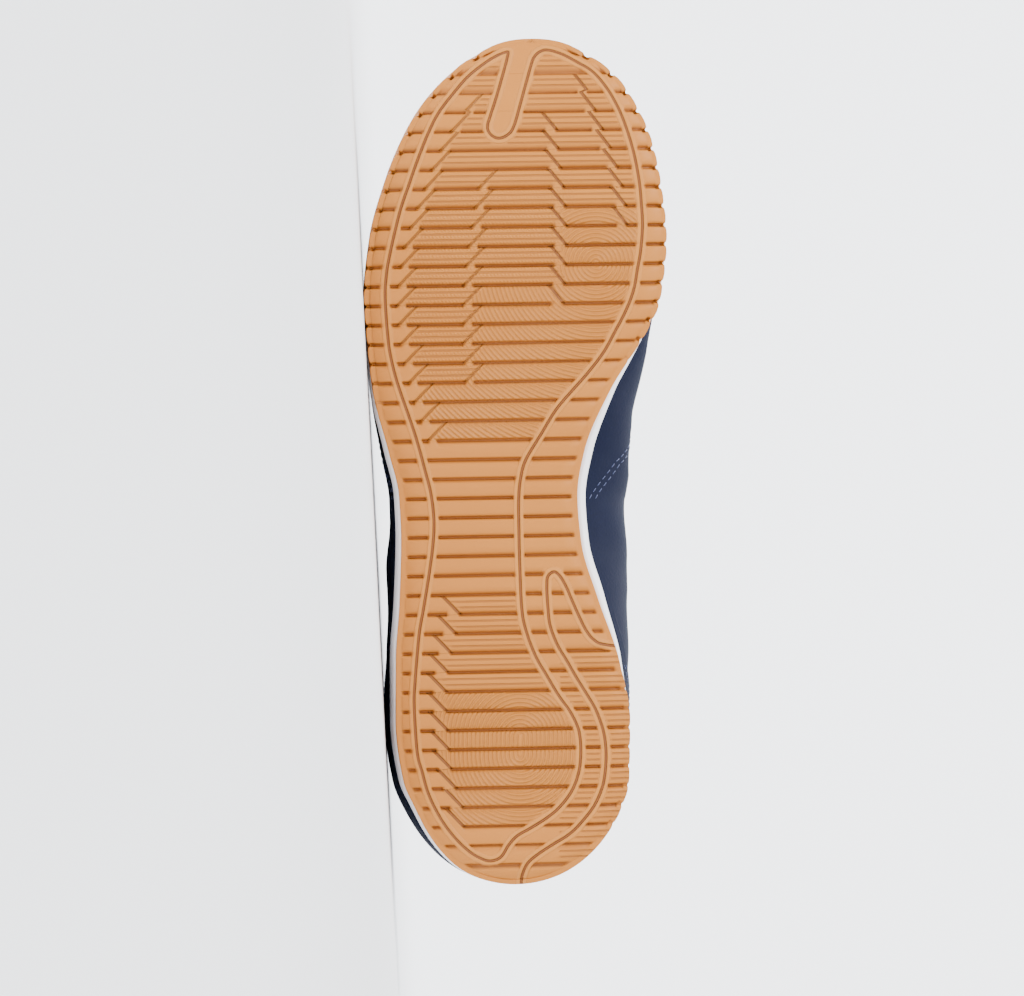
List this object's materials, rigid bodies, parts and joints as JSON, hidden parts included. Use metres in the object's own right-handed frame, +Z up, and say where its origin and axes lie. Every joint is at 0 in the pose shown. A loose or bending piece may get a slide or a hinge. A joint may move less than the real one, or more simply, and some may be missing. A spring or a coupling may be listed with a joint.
{
  "type": "indoor soccer shoe",
  "caption": "Right indoor court shoe with a ribbed gum sole, white foam midsole and navy upper, empty and lying on its outer side.",
  "frame": {"origin": "centre of the footprint on the floor, under the shoe as it lies on its outer side", "axes": "+Z up from the floor, towards the shoe's inner side; the toe points to -X, the tread faces -Y and the instep +Y"},
  "size_m": [0.292, 0.1096, 0.1053],
  "materials": {
    "gum": "matte moulded gum rubber",
    "foam": "matte white foam",
    "leather": "smooth navy leather",
    "textile": "padded navy textile",
    "liner": "grey lined foam",
    "cord": "flat woven lace"
  },
  "bodies": {
    "root": {"outsole": "gum", "midsole": "foam", "upper": "leather", "tongue": "textile", "insole": "liner", "lace": "cord"}
  },
  "joints": []
}
